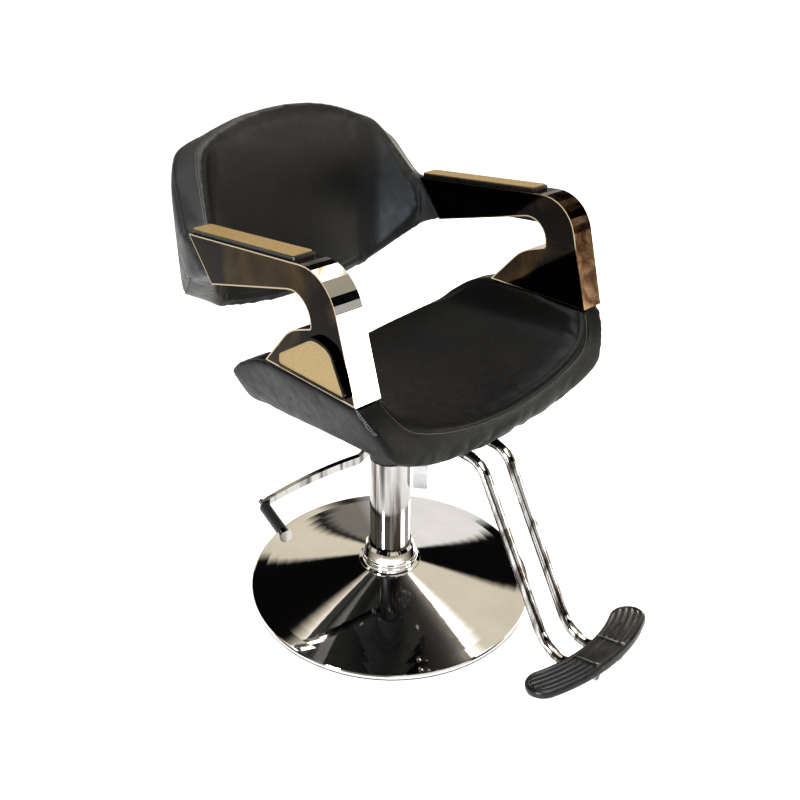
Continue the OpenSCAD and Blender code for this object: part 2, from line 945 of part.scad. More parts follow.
base_cover();
base_weight();
base_ring();
base_bolts();
column_collar();
column_tube();
pump_cylinder();
guide_bush();
column_cap();
ram_rod();
ram_piston();
thrust_bearing();
swivel_head();
seat_plate();
seat_rail(LEFT);  // seat_rail_left
seat_rail(RIGHT);  // seat_rail_right
seat_plate_bolts();
lever_pin();
side_fin();
lever_arm();
foot_bar();
foot_bar_grip();
foot_bar_cap();
seat_board();
seat_cushion();
seat_front_band();
seat_rear_band();
seat_side(LEFT);  // seat_side_left
seat_side(RIGHT);  // seat_side_right
arm_frame(LEFT);  // arm_frame_left
arm_frame(RIGHT);  // arm_frame_right
arm_core(LEFT);  // arm_core_left
arm_core(RIGHT);  // arm_core_right
arm_band(LEFT);  // arm_band_left
arm_band(RIGHT);  // arm_band_right
arm_plate(LEFT, arm_out - plate_sheet);  // arm_plate_outer_left
arm_plate(RIGHT, arm_out - plate_sheet);  // arm_plate_outer_right
arm_plate(LEFT, arm_in);  // arm_plate_inner_left
arm_plate(RIGHT, arm_in);  // arm_plate_inner_right
arm_pod(LEFT);  // arm_pod_left
arm_pod(RIGHT);  // arm_pod_right
arm_inlay(LEFT);  // arm_inlay_left
arm_inlay(RIGHT);  // arm_inlay_right
armrest_pad(LEFT);  // armrest_pad_left
armrest_pad(RIGHT);  // armrest_pad_right
armrest_top(LEFT);  // armrest_top_left
armrest_top(RIGHT);  // armrest_top_right
back_board();
back_cushion();
back_rear_pad();
back_border();
footrest_tube_at(LEFT);  // footrest_tube_left
footrest_tube_at(RIGHT);  // footrest_tube_right
footrest_saddle();
footrest_clamp();
footrest_bolts();
foot_plate_core();
foot_plate_pad();
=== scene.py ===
import json
import math

import bmesh
import bpy
import numpy as np
from mathutils import Matrix, Vector
from mathutils.kdtree import KDTree


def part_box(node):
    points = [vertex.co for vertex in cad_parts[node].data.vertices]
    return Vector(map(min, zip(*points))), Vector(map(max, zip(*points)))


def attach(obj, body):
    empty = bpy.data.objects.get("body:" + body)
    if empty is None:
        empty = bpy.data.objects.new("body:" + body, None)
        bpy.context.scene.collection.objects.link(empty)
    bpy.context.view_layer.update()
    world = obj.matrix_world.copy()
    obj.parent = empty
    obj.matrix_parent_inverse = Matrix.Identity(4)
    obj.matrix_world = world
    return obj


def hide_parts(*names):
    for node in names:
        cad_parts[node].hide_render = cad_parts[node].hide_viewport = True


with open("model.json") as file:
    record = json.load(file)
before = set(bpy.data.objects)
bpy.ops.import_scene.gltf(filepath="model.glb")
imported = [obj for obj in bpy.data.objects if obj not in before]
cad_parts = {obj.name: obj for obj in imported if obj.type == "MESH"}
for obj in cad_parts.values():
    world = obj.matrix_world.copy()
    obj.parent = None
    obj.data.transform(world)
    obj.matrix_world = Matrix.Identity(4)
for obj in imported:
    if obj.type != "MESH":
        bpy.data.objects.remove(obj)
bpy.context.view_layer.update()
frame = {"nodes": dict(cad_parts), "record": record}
NODES = frame["nodes"]
SEAT = "seat"
scene = bpy.context.scene
scene.view_settings.view_transform = "Standard"
scene.view_settings.look = "High Contrast"

# ---------------------------------------------------------------- materials


class Shader:
    """A Principled material with object coordinates and a few short ways to add detail."""

    def __init__(self, name, color, rough, metal=0.0, **sockets):
        self.material = bpy.data.materials.new(name)
        self.material.use_nodes = True
        self.tree = self.material.node_tree
        self.bsdf = self.tree.nodes["Principled BSDF"]
        self.bsdf.inputs["Base Color"].default_value = (*color, 1)
        self.bsdf.inputs["Roughness"].default_value = rough
        self.bsdf.inputs["Metallic"].default_value = metal
        for key, value in sockets.items():
            self.bsdf.inputs[key.replace("_", " ")].default_value = value
        self.coords = self.node("ShaderNodeTexCoord").outputs["Object"]
        self.normal = None

    def node(self, kind, **values):
        n = self.tree.nodes.new(kind)
        for key, value in values.items():
            if hasattr(n, key):
                setattr(n, key, value)
            else:
                n.inputs[key.replace("_", " ")].default_value = value
        return n

    def stretched(self, scale, turn=(0, 0, 0)):
        n = self.node("ShaderNodeMapping")
        n.inputs["Scale"].default_value = scale
        n.inputs["Rotation"].default_value = turn
        self.tree.links.new(self.coords, n.inputs["Vector"])
        return n.outputs["Vector"]

    def noise(self, scale, detail=3.0, coords=None, **values):
        n = self.node("ShaderNodeTexNoise", Scale=scale, Detail=detail, **values)
        self.tree.links.new(coords or self.coords, n.inputs["Vector"])
        return n.outputs["Fac"]

    def cells(self, scale, feature="F1"):
        n = self.node("ShaderNodeTexVoronoi", feature=feature, Scale=scale)
        self.tree.links.new(self.coords, n.inputs["Vector"])
        return n.outputs["Distance"]

    def ramp(self, fac, stops):
        n = self.node("ShaderNodeValToRGB")
        while len(n.color_ramp.elements) < len(stops):
            n.color_ramp.elements.new(0.5)
        for e, (place, value) in zip(n.color_ramp.elements, stops):
            e.position = place
            e.color = (*value, 1) if isinstance(value, tuple) else (value, value, value, 1)
        self.tree.links.new(fac, n.inputs["Fac"])
        return n.outputs["Color"]

    def color(self, fac, stops):
        self.tree.links.new(self.ramp(fac, stops), self.bsdf.inputs["Base Color"])

    def rough(self, fac, low, high):
        n = self.node("ShaderNodeMapRange")
        n.inputs["From Min"].default_value = 0.3
        n.inputs["From Max"].default_value = 0.7
        n.inputs["To Min"].default_value = low
        n.inputs["To Max"].default_value = high
        self.tree.links.new(fac, n.inputs["Value"])
        self.tree.links.new(n.outputs["Result"], self.bsdf.inputs["Roughness"])

    def bump(self, height, depth, strength=1.0):
        n = self.node("ShaderNodeBump", Strength=strength, Distance=depth)
        self.tree.links.new(height, n.inputs["Height"])
        if self.normal:
            self.tree.links.new(self.normal, n.inputs["Normal"])
        self.normal = n.outputs["Normal"]
        self.tree.links.new(self.normal, self.bsdf.inputs["Normal"])


def leather(name, wrinkle=0.0, painted_light_scale=1.0, gloss=0.32):
    s = Shader(name, (0.012, 0.012, 0.013), 0.42, Specular_IOR_Level=gloss)
    tone = s.noise(7, 5)
    # The base colours are multiplied by one factor per copy of this leather: above 1 is painted light, below
    # 1 is painted shade.
    s.color(tone, [(0.25, (0.0085 * painted_light_scale, 0.0085 * painted_light_scale, 0.009 * painted_light_scale)),
                   (0.55, (0.0125 * painted_light_scale, 0.012 * painted_light_scale, 0.0115 * painted_light_scale)),
                   (0.78, (0.018 * painted_light_scale, 0.017 * painted_light_scale, 0.0145 * painted_light_scale))])
    s.rough(s.noise(60, 5), 0.33, 0.47)
    s.bump(s.noise(5.5, 3), 0.005, 0.5)
    if wrinkle:
        creases = s.noise(1.0, 4, s.stretched((26, 210, 60), (0, 0, 0.06)), Distortion=1.4)
        s.bump(creases, 0.0008, wrinkle)
    s.bump(s.cells(780), 0.00032, 0.6)
    s.bump(s.noise(1900, 2), 0.0001, 0.5)
    return s.material


def mirror(name, color, rough=(0.03, 0.09), wave=0.25, painted_reflection=None, grain_and_reflection_stretch=(7, 9, 4), split=(0.35, 0.65)):
    s = Shader(name, color, rough[0], 1.0)
    # With a second colour, stretched bands of it are mixed into the metal's colour: a painted reflection of
    # the surroundings.
    if painted_reflection:
        s.color(s.noise(1.0, 4, s.stretched(grain_and_reflection_stretch, (0.5, 0.2, 0)), Distortion=0.8),
                [(split[0], color), (split[1], painted_reflection)])
    else:
        s.color(s.noise(14, 3), [(0.3, tuple(0.93 * c for c in color)), (0.7, color)])
    s.rough(s.noise(45, 6, Roughness=0.7), *rough)
    s.bump(s.noise(6, 2), 0.0015, wave)
    scratches = s.noise(1.0, 2, s.stretched((40, 40, 900), (0.3, 0.2, 0)))
    s.bump(scratches, 0.00003, 0.3)
    return s.material


def with_painted_side_reflection(name, *finish):
    """A mirror finish whose narrow cut edges, which face sideways, are painted a duller, warmer colour: a
    painted reflection by the way the faces turn.
    """
    material = mirror(name, *finish)
    tree = material.node_tree
    bsdf = tree.nodes["Principled BSDF"]
    face = tree.nodes.new("ShaderNodeSeparateXYZ")
    tree.links.new(tree.nodes.new("ShaderNodeTexCoord").outputs["Normal"], face.inputs["Vector"])
    size = tree.nodes.new("ShaderNodeMath")
    size.operation = "ABSOLUTE"
    tree.links.new(face.outputs["X"], size.inputs[0])
    share = tree.nodes.new("ShaderNodeMapRange")
    share.inputs["From Min"].default_value = 0.85
    share.inputs["From Max"].default_value = 0.95
    tree.links.new(size.outputs["Value"], share.inputs["Value"])
    mix = tree.nodes.new("ShaderNodeMix")
    mix.data_type = "RGBA"
    # The warm, dull colour that the sideways faces get is a painted reflection.
    mix.inputs[7].default_value = (0.42, 0.35, 0.25, 1)
    tree.links.new(share.outputs["Result"], mix.inputs[0])
    tree.links.new(bsdf.inputs["Base Color"].links[0].from_socket, mix.inputs[6])
    tree.links.new(mix.outputs[2], bsdf.inputs["Base Color"])
    return material


def plain(name, color, rough, metal=0.0, grain_and_reflection_stretch=500, depth=0.0002):
    s = Shader(name, color, rough[0], metal)
    darker = tuple(0.8 * c for c in color)
    lighter = tuple(min(1, 1.15 * c) for c in color)
    s.color(s.noise(20, 5), [(0.3, darker), (0.7, lighter)])
    s.rough(s.noise(90, 4), *rough)
    s.bump(s.noise(grain_and_reflection_stretch, 3), depth, 0.6)
    return s.material


def worn(name):
    """Black rubber with pale rubbed streaks."""
    s = Shader(name, (0.012, 0.012, 0.012), 0.35)
    rubbed = s.noise(1.0, 6, s.stretched((18, 60, 60), (0, 0, 0.2)), Distortion=1.1)
    s.color(rubbed, [(0.5, (0.007, 0.007, 0.0075)), (0.66, (0.02, 0.02, 0.02)), (0.76, (0.09, 0.09, 0.088))])
    s.rough(s.noise(70, 5), 0.24, 0.45)
    s.bump(s.noise(600, 3), 0.0002, 0.5)
    return s.material


def speckled(name):
    s = Shader(name, (0.55, 0.41, 0.2), 0.55)
    s.color(s.noise(520, 6, Roughness=0.8),
            [(0.3, (0.14, 0.088, 0.035)), (0.48, (0.22, 0.155, 0.068)), (0.7, (0.3, 0.22, 0.105))])
    s.rough(s.noise(140, 3), 0.42, 0.62)
    s.bump(s.noise(900, 4), 0.00025, 0.7)
    return s.material


def timber(name):
    s = Shader(name, (0.6, 0.45, 0.27), 0.6)
    s.color(s.noise(1.0, 6, s.stretched((30, 30, 400)), Distortion=0.6),
            [(0.3, (0.42, 0.28, 0.15)), (0.7, (0.68, 0.52, 0.33))])
    s.rough(s.noise(200, 3), 0.5, 0.7)
    s.bump(s.noise(1.0, 4, s.stretched((60, 60, 900))), 0.0003, 0.5)
    return s.material


# One leather in two copies: the back's is painted 2.1 times lighter as painted light, the seat's 0.9 times
# as painted shade.
LEATHER_PAINTED_LIGHT = leather("black_leather", painted_light_scale=2.1)
SEAT_LEATHER_PAINTED_SHADE = leather("black_leather_seat", wrinkle=0.6, painted_light_scale=0.9, gloss=0.22)
CHROME = mirror("chrome", (0.8, 0.79, 0.77), (0.02, 0.06), 0.12)
# The tubes' chrome is a darker copy of the chrome, with dark streaks along the tubes: painted reflection.
TUBE_CHROME = mirror("chrome_tubes", (0.48, 0.47, 0.46), (0.04, 0.1), 0.1, (0.13, 0.115, 0.1),
                     (46, 46, 2.2), (0.46, 0.62))
# The right arm's band is a darker copy of the chrome with brown streaks: painted reflection.
BAND_CHROME = with_painted_side_reflection("chrome_band", (0.46, 0.45, 0.43), (0.04, 0.13), 0.45, (0.3, 0.2, 0.11),
                    (22, 40, 12), (0.58, 0.7))
# The left arm's band is the same chrome painted dark brown with brown streaks: painted reflection of dark
# and brown surroundings.
BAND_CHROME_PAINTED_REFLECTION = with_painted_side_reflection("chrome_band_painted_reflection", (0.08, 0.045, 0.025), (0.08, 0.2), 0.5, (0.22, 0.15, 0.095),
                    (30, 60, 16), (0.42, 0.66))
# The smoked mirror's dark base is its own finish; its warm brown streaks are painted reflection.
SMOKED = mirror("smoked_mirror", (0.018, 0.016, 0.015), (0.03, 0.09), 0.55, (0.085, 0.057, 0.028),
                (6, 7, 9), (0.46, 0.74))
TAN = speckled("tan_board")
RUBBER = plain("black_rubber", (0.022, 0.022, 0.023), (0.35, 0.55), 0, 700, 0.0003)
WORN_RUBBER = worn("worn_rubber")
PLASTIC = plain("black_plastic", (0.015, 0.015, 0.016), (0.25, 0.4), 0, 400, 0.0001)
PAINT = plain("black_paint", (0.02, 0.02, 0.021), (0.3, 0.5), 0, 260, 0.0003)
IRON = plain("cast_iron", (0.06, 0.06, 0.062), (0.55, 0.75), 0.3, 220, 0.0006)
STEEL = plain("machined_steel", (0.5, 0.5, 0.51), (0.2, 0.36), 1.0, 900, 0.00004)
BRONZE = plain("bronze", (0.55, 0.36, 0.16), (0.25, 0.4), 1.0, 700, 0.0001)
WOOD = timber("birch_plywood")
THREAD = plain("thread", (0.16, 0.155, 0.145), (0.6, 0.8), 0, 3000, 0.0001)
PALE_THREAD = plain("pale_thread", (0.34, 0.33, 0.31), (0.6, 0.8), 0, 3000, 0.0001)

BY_SLOT = {
    "chrome": CHROME, "smoked_metal": SMOKED, "leather": LEATHER_PAINTED_LIGHT, "tan_inlay": TAN,
    "black_plastic": PLASTIC, "black_rubber": RUBBER, "steel": STEEL, "cast_iron": IRON,
    "black_paint": PAINT, "bronze": BRONZE, "plywood": WOOD,
}
# The left arm's band gets the copy of the chrome that is painted dark as reflection.
BY_NODE = {"arm_band_right": BAND_CHROME, "arm_band_left": BAND_CHROME_PAINTED_REFLECTION,
           "lever_arm": TUBE_CHROME, "foot_bar_cap": TUBE_CHROME,
           "footrest_tube_left": TUBE_CHROME, "footrest_tube_right": TUBE_CHROME,
           "column_tube": TUBE_CHROME}


def dress(obj, mat):
    obj.data.materials.clear()
    obj.data.materials.append(mat)


for part in frame["record"]["subparts"]:
    node = NODES[part["node"]]
    dress(node, BY_NODE.get(part["node"], BY_SLOT[part["material_slot"]]))

# ---------------------------------------------------------------- shapes shared with the frame

face_low, face_high = (np.array(v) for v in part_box("seat_front_band"))
side_high = np.array(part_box("seat_side_left")[1])
foot_low, foot_high = (np.array(v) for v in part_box("foot_plate_pad"))
back_low, back_high = (np.array(v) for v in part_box("back_border"))

FRONT_Y = face_low[1]
RIDGE_Z = face_high[2]
WALL_OUT = side_high[0]
WALL_IN = WALL_OUT - 0.049
CURVE = 0.506
SEAT_LOW = face_low[2]
SEAT_THICK = 0.075


def cradle(x):
    return CURVE - np.sqrt(CURVE ** 2 - x ** 2)


def seat_top(x):
    """Height of the seat's upper face at its front edge."""
    a = min(abs(x), WALL_IN)
    base = SEAT_LOW + SEAT_THICK + cradle(a)
    wall = SEAT_LOW + SEAT_THICK + cradle(WALL_IN)
    w = max(0, (abs(x) - 0.195) / (WALL_IN - 0.195)) if abs(x) < WALL_IN else 1
    return base + w ** 3 * (RIDGE_Z - wall)


def seat_under(x):
    a = abs(x)
    low = SEAT_LOW + cradle(min(a, 0.262))
    if a < 0.262:
        return low
    return low + (a - 0.262) / (WALL_OUT - 0.262) * (RIDGE_Z - 0.005 - low)


def face_y(z):
    if z > 0.54:
        return FRONT_Y + 0.041 * ((z - 0.54) / 0.097) ** 2
    return FRONT_Y + 0.02 * ((0.54 - z) / 0.072) ** 2


def mesh_object(name, verts, faces, mat=None):
    me = bpy.data.meshes.new(name)
    me.from_pydata([tuple(v) for v in verts], [], [tuple(f) for f in faces])
    me.update()
    obj = bpy.data.objects.new(name, me)
    scene.collection.objects.link(obj)
    if mat:
        dress(obj, mat)
    me.polygons.foreach_set("use_smooth", [True] * len(me.polygons))
    return obj


def cooked(obj):
    """The object with its modifiers applied."""
    bpy.context.view_layer.update()
    dg = bpy.context.evaluated_depsgraph_get()
    me = bpy.data.meshes.new_from_object(obj.evaluated_get(dg))
    obj.modifiers.clear()
    old = obj.data
    obj.data = me
    bpy.data.meshes.remove(old)
    return obj


def points_of(obj):
    co = np.empty(len(obj.data.vertices) * 3)
    obj.data.vertices.foreach_get("co", co)
    return co.reshape(-1, 3)


def set_points(obj, co):
    obj.data.vertices.foreach_set("co", co.ravel())
    obj.data.update()


def normals_of(obj):
    no = np.empty(len(obj.data.vertices) * 3)
    obj.data.vertices.foreach_get("normal", no)
    return no.reshape(-1, 3)


def remeshed(name, nodes, voxel):
    """One closed skin round the named nodes."""
    verts, faces = [], []
    for n in nodes:
        start = len(verts)
        verts += [NODES[n].matrix_world @ v.co for v in NODES[n].data.vertices]
        faces += [[start + i for i in p.vertices] for p in NODES[n].data.polygons]
    obj = mesh_object(name, verts, faces)
    m = obj.modifiers.new("skin", "REMESH")
    m.mode = "VOXEL"
    m.voxel_size = voxel
    return cooked(obj)


def relaxed(obj, rounds, factor=0.5):
    m = obj.modifiers.new("soft", "SMOOTH")
    m.iterations = rounds
    m.factor = factor
    return cooked(obj)


def swollen(obj, pressure, cap):
    """Lets the skin swell like stuffed upholstery, no point further than cap."""
    before = points_of(obj)
    m = obj.modifiers.new("stuffing", "CLOTH")
    m.settings.quality = 4
    m.settings.mass = 0.3
    m.settings.use_pressure = True
    m.settings.uniform_pressure_force = pressure
    m.settings.effector_weights.gravity = 0
    m.settings.tension_stiffness = 15
    m.settings.bending_stiffness = 1.0
    for f in range(1, 21):
        scene.frame_set(f)
    cooked(obj)
    scene.frame_set(1)
    move = points_of(obj) - before
    far = np.linalg.norm(move, axis=1)[:, None]
    set_points(obj, before + move * np.minimum(1, cap / np.maximum(far, 1e-9)))


def subdivided(obj):
    m = obj.modifiers.new("fine", "SUBSURF")
    m.levels = m.render_levels = 1
    return cooked(obj)


def resampled(points, step):
    p = np.array(points, float)
    gaps = np.linalg.norm(np.diff(p, axis=0), axis=1)
    s = np.concatenate([[0], np.cumsum(gaps)])
    t = np.linspace(0, s[-1], max(2, int(s[-1] / step) + 1))
    return np.stack([np.interp(t, s, p[:, k]) for k in range(3)], axis=1)


def pressed(obj, line, depth, width, lift=0.0, lift_at=0.0):
    """Draws the surface in along a line, and raises it a little beside the line."""
    pts = resampled(line, 0.002)
    tree = KDTree(len(pts))
    for i, p in enumerate(pts):
        tree.insert(p, i)
    tree.balance()
    co, no = points_of(obj), normals_of(obj)
    reach = width * 4 + lift_at * 2
    low, high = pts.min(0) - reach, pts.max(0) + reach
    for i in np.where(np.all((co > low) & (co < high), axis=1))[0]:
        d = tree.find(co[i])[2]
        if d < reach:
            down = depth * math.exp(-((d / width) ** 2))
            up = lift * math.exp(-(((d - lift_at) / width) ** 2)) if lift else 0
            co[i] += no[i] * (up - down)
    set_points(obj, co)


def on_surface(obj, line, step, lift=0.0):
    """The line laid onto the surface."""
    out = []
    for p in resampled(line, step):
        _, hit, normal, _ = obj.closest_point_on_mesh(Vector(p))
        out.append(np.array(hit + normal * lift))
    return out


# ---------------------------------------------------------------- node groups for what follows a path


def path_group(name, sockets):
    g = bpy.data.node_groups.new(name, "GeometryNodeTree")
    g.interface.new_socket("Path", in_out="INPUT", socket_type="NodeSocketGeometry")
    for label, kind, value in sockets:
        s = g.interface.new_socket(label, in_out="INPUT", socket_type=kind)
        if value is not None:
            s.default_value = value
    g.interface.new_socket("Result", in_out="OUTPUT", socket_type="NodeSocketGeometry")
    return g, g.nodes.new("NodeGroupInput"), g.nodes.new("NodeGroupOutput")


def piping_group():
    g, gin, gout = path_group("piping", [
        ("Radius", "NodeSocketFloat", 0.002), ("Sides", "NodeSocketInt", 10),
        ("Material", "NodeSocketMaterial", None)])
    ring = g.nodes.new("GeometryNodeCurvePrimitiveCircle")
    tube = g.nodes.new("GeometryNodeCurveToMesh")
    tube.inputs["Fill Caps"].default_value = True
    smooth = g.nodes.new("GeometryNodeSetShadeSmooth")
    mat = g.nodes.new("GeometryNodeSetMaterial")
    real = g.nodes.new("GeometryNodeRealizeInstances")
    g.links.new(gin.outputs["Radius"], ring.inputs["Radius"])
    g.links.new(gin.outputs["Sides"], ring.inputs["Resolution"])
    g.links.new(gin.outputs["Path"], tube.inputs["Curve"])
    g.links.new(ring.outputs["Curve"], tube.inputs["Profile Curve"])
    g.links.new(tube.outputs["Mesh"], smooth.inputs["Geometry"])
    g.links.new(smooth.outputs["Geometry"], real.inputs["Geometry"])
    g.links.new(real.outputs["Geometry"], mat.inputs["Geometry"])
    g.links.new(gin.outputs["Material"], mat.inputs["Material"])
    g.links.new(mat.outputs["Geometry"], gout.inputs["Result"])
    return g


def stitch_group():
    g, gin, gout = path_group("stitches", [
        ("Spacing", "NodeSocketFloat", 0.0045), ("Length", "NodeSocketFloat", 0.0032),
        ("Thickness", "NodeSocketFloat", 0.0008), ("Material", "NodeSocketMaterial", None)])
    count = g.nodes.new("GeometryNodeResampleCurve")
    count.mode = "LENGTH"
    points = g.nodes.new("GeometryNodeCurveToPoints")
    points.mode = "EVALUATED"
    thread = g.nodes.new("GeometryNodeMeshUVSphere")
    thread.inputs["Segments"].default_value = 8
    thread.inputs["Rings"].default_value = 6
    thread.inputs["Radius"].default_value = 1.0
    size = g.nodes.new("ShaderNodeCombineXYZ")
    half = g.nodes.new("ShaderNodeMath")
    half.operation = "MULTIPLY"
    half.inputs[1].default_value = 0.5
    put = g.nodes.new("GeometryNodeInstanceOnPoints")
    real = g.nodes.new("GeometryNodeRealizeInstances")
    smooth = g.nodes.new("GeometryNodeSetShadeSmooth")
    mat = g.nodes.new("GeometryNodeSetMaterial")
    g.links.new(gin.outputs["Path"], count.inputs["Curve"])
    g.links.new(gin.outputs["Spacing"], count.inputs["Length"])
    g.links.new(count.outputs["Curve"], points.inputs["Curve"])
    g.links.new(gin.outputs["Length"], half.inputs[0])
    g.links.new(gin.outputs["Thickness"], size.inputs["X"])
    g.links.new(gin.outputs["Thickness"], size.inputs["Y"])
    g.links.new(half.outputs["Value"], size.inputs["Z"])
    g.links.new(points.outputs["Points"], put.inputs["Points"])
    g.links.new(points.outputs["Rotation"], put.inputs["Rotation"])
    g.links.new(thread.outputs["Mesh"], put.inputs["Instance"])
    g.links.new(size.outputs["Vector"], put.inputs["Scale"])
    g.links.new(put.outputs["Instances"], real.inputs["Geometry"])
    g.links.new(real.outputs["Geometry"], smooth.inputs["Geometry"])
    g.links.new(smooth.outputs["Geometry"], mat.inputs["Geometry"])
    g.links.new(gin.outputs["Material"], mat.inputs["Material"])
    g.links.new(mat.outputs["Geometry"], gout.inputs["Result"])
    return g


PIPING = piping_group()
STITCHES = stitch_group()


def along(name, group, lines, body, slot, closed=False, **inputs):
    """Runs a node group over the lines and keeps its result as one plain mesh piece."""
    cu = bpy.data.curves.new(name + "_path", "CURVE")
    cu.dimensions = "3D"
    for line in lines:
        sp = cu.splines.new("POLY")
        sp.points.add(len(line) - 1)
        for q, p in zip(sp.points, line):
            q.co = (*p, 1)
        sp.use_cyclic_u = closed
    ob = bpy.data.objects.new(name + "_path", cu)
    scene.collection.objects.link(ob)
    m = ob.modifiers.new("nodes", "NODES")
    m.node_group = group
    names = {i.name: i.identifier for i in group.interface.items_tree if i.in_out == "INPUT"}
    for key, value in inputs.items():
        m[names[key]] = value
    bpy.context.view_layer.update()
    dg = bpy.context.evaluated_depsgraph_get()
    me = bpy.data.meshes.new_from_object(ob.evaluated_get(dg))
    bpy.data.objects.remove(ob)
    piece = bpy.data.objects.new(name, me)
    scene.collection.objects.link(piece)
    dress(piece, inputs["Material"])
    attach(piece, body)
    return piece


def soft_piece(obj, nodes, mat):
    dress(obj, mat)
    obj.data.polygons.foreach_set("use_smooth", [True] * len(obj.data.polygons))
    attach(obj, SEAT)
    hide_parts(*nodes)


def mirrored(line):
    return [np.array([-p[0], p[1], p[2]]) for p in line]


# ---------------------------------------------------------------- seat

body_nodes = ["seat_board", "seat_cushion", "seat_rear_band", "seat_side_left", "seat_side_right"]
seat_body = remeshed("seat_upholstery", body_nodes + ["seat_front_band"], 0.005)
relaxed(seat_body, 5)
swollen(seat_body, 4, 0.004)
relaxed(seat_body, 4)
seat_body = subdivided(seat_body)

xs = np.linspace(-WALL_IN, WALL_IN, 90)
top_seam = [np.array([x, face_y(seat_top(x)), seat_top(x)]) for x in xs]
xs = np.linspace(-WALL_OUT + 0.004, WALL_OUT - 0.004, 110)
low_seam = [np.array([x, face_y(seat_under(x)), seat_under(x)]) for x in xs]
pressed(seat_body, top_seam, 0.0022, 0.003, 0.0012, 0.012)
pressed(seat_body, low_seam, 0.002, 0.004)
soft_piece(seat_body, body_nodes + ["seat_front_band"], SEAT_LEATHER_PAINTED_SHADE)
along("seat_front_piping", PIPING, [on_surface(seat_body, top_seam, 0.006)], SEAT, "leather",
      Radius=0.0015, Sides=8, Material=SEAT_LEATHER_PAINTED_SHADE)
below_seam = [p + np.array([0, -0.006, -0.007]) for p in top_seam]
along("seat_front_stitches", STITCHES, [on_surface(seat_body, below_seam, 0.004)], SEAT, "leather",
      Spacing=0.0045, Length=0.0032, Thickness=0.0006, Material=THREAD)



def ridge(y):
    """Top line of the seat's side walls."""
    return RIDGE_Z - 3.2 * max(0, y + 0.04) ** 2


wing_line = [np.array([WALL_OUT - 0.003, y, ridge(y)]) for y in np.linspace(-0.244, 0.12, 60)]
wing_piping = on_surface(seat_body, wing_line, 0.006)
along("seat_side_piping", PIPING, [wing_piping, mirrored(wing_piping)], SEAT, "leather",
      Radius=0.0018, Sides=8, Material=LEATHER_PAINTED_LIGHT)
corner_lines = []
for shift in (0.0, 0.0045):
    top = np.array([WALL_OUT - 0.001, FRONT_Y + 0.041 + shift, RIDGE_Z - 0.004])
    foot = np.array([WALL_OUT - 0.018, FRONT_Y + 0.016 + shift, RIDGE_Z - 0.042])
    corner_lines.append(on_surface(seat_body, np.linspace(top, foot, 12), 0.003, 0.0003))
corner_lines += [mirrored(line) for line in corner_lines]
along("seat_corner_stitches", STITCHES, corner_lines, SEAT, "leather",
      Spacing=0.004, Length=0.0028, Thickness=0.0005, Material=PALE_THREAD)

# ---------------------------------------------------------------- backrest

BACK_Y = back_high[1] - 0.062
BACK_THICK = 0.062
TAPER = 0.017
WING_TURN = math.radians(64)
END_TURN = math.radians(86)
BEND = 0.07
FLAT = 0.155
WING_RUN = 0.06
WING_START = FLAT + BEND * WING_TURN
END_START = WING_START + WING_RUN
END_STOP = END_START + BEND * (END_TURN - WING_TURN)
BACK_LOW = back_low[2]
BACK_TOP = back_high[2]
BACK_CORNERS = [(0.086, BACK_LOW, 0.74), (0.186, BACK_LOW + 0.023, 0.046), (0.32, BACK_LOW + 0.131, 0.06),
                (0.392, BACK_LOW + 0.161, 0.002), (0.345, BACK_LOW + 0.229, 0.002),
                (0.3, BACK_LOW + 0.234, 0.03),
                (0.213, BACK_TOP - 0.053, 0.062), (0.094, BACK_TOP, 0.43),
                (-0.2, BACK_TOP, 0), (-0.2, BACK_LOW, 0)]


def back_outline(d):
    """Half of the backrest's outline laid flat, moved in by d: its lower and its upper edge."""
    corners = []
    for i, (x, z, r) in enumerate(BACK_CORNERS):
        p = np.array([x, z])
        a, b = (np.array(BACK_CORNERS[k % 10][:2]) for k in (i - 1, i + 1))
        u, v = (a - p) / np.linalg.norm(a - p), (b - p) / np.linalg.norm(b - p)
        half = math.acos(u @ v) / 2
        turn = 1 if (p - a)[0] * (b - p)[1] - (p - a)[1] * (b - p)[0] > 0 else -1
        m = (u + v) / np.linalg.norm(u + v)
        corners.append((p + m * turn * d / math.sin(half), max(0, r - turn * d), half, u, v, m))
    points = []
    for q, r, half, u, v, m in corners:
        c = q + m * r / math.sin(half)
        ends = [q + w * r / math.tan(half) - c for w in (u, v)]
        a, b = (math.atan2(e[1], e[0]) for e in ends)
        sweep = (b - a + 3 * math.pi) % (2 * math.pi) - math.pi
        for angle in (a + sweep * k / 8 for k in range(9)):
            points.append(c + r * np.array([math.cos(angle), math.sin(angle)]))
    points = np.array([p for p in points if p[0] > -0.15])
    far = points[:, 0].argmax()
    low = points[points[:, 1] <= points[far, 1]]
    high = points[points[:, 1] >= points[far, 1]]
    return low[low[:, 0].argsort()], high[high[:, 0].argsort()]


def back_point(s, z, t):
    """Point of the backrest at distance s along its bent width, height z and share t of its depth."""
    a = abs(s)
    f = max(0, (min(a, WING_START) - FLAT) / BEND) + max(0, (min(a, END_STOP) - END_START) / BEND)
    g = min(f, WING_TURN)
    run, last = min(WING_RUN, max(0, a - WING_START)), max(0, a - END_STOP)
    deep = t * (BACK_THICK - 0.014 * min(1, max(0, (a - 0.2) / 0.13)))
    x = min(a, FLAT) + BEND * math.sin(f) + run * math.cos(g) + last * math.cos(f) + math.sin(f) * deep
    y = BACK_Y - BEND * (1 - math.cos(f)) - run * math.sin(g) - last * math.sin(f) + math.cos(f) * deep
    return np.array([math.copysign(x, s), y, z])


def back_line(t, d, upper, reach, count=160):
    """A line round the backrest, along its upper or lower edge."""
    edge = back_outline(d + t * TAPER)[1 if upper else 0]
    return [back_point(s, np.interp(abs(s), edge[:, 0], edge[:, 1]), t)
            for s in np.linspace(-reach, reach, count)]


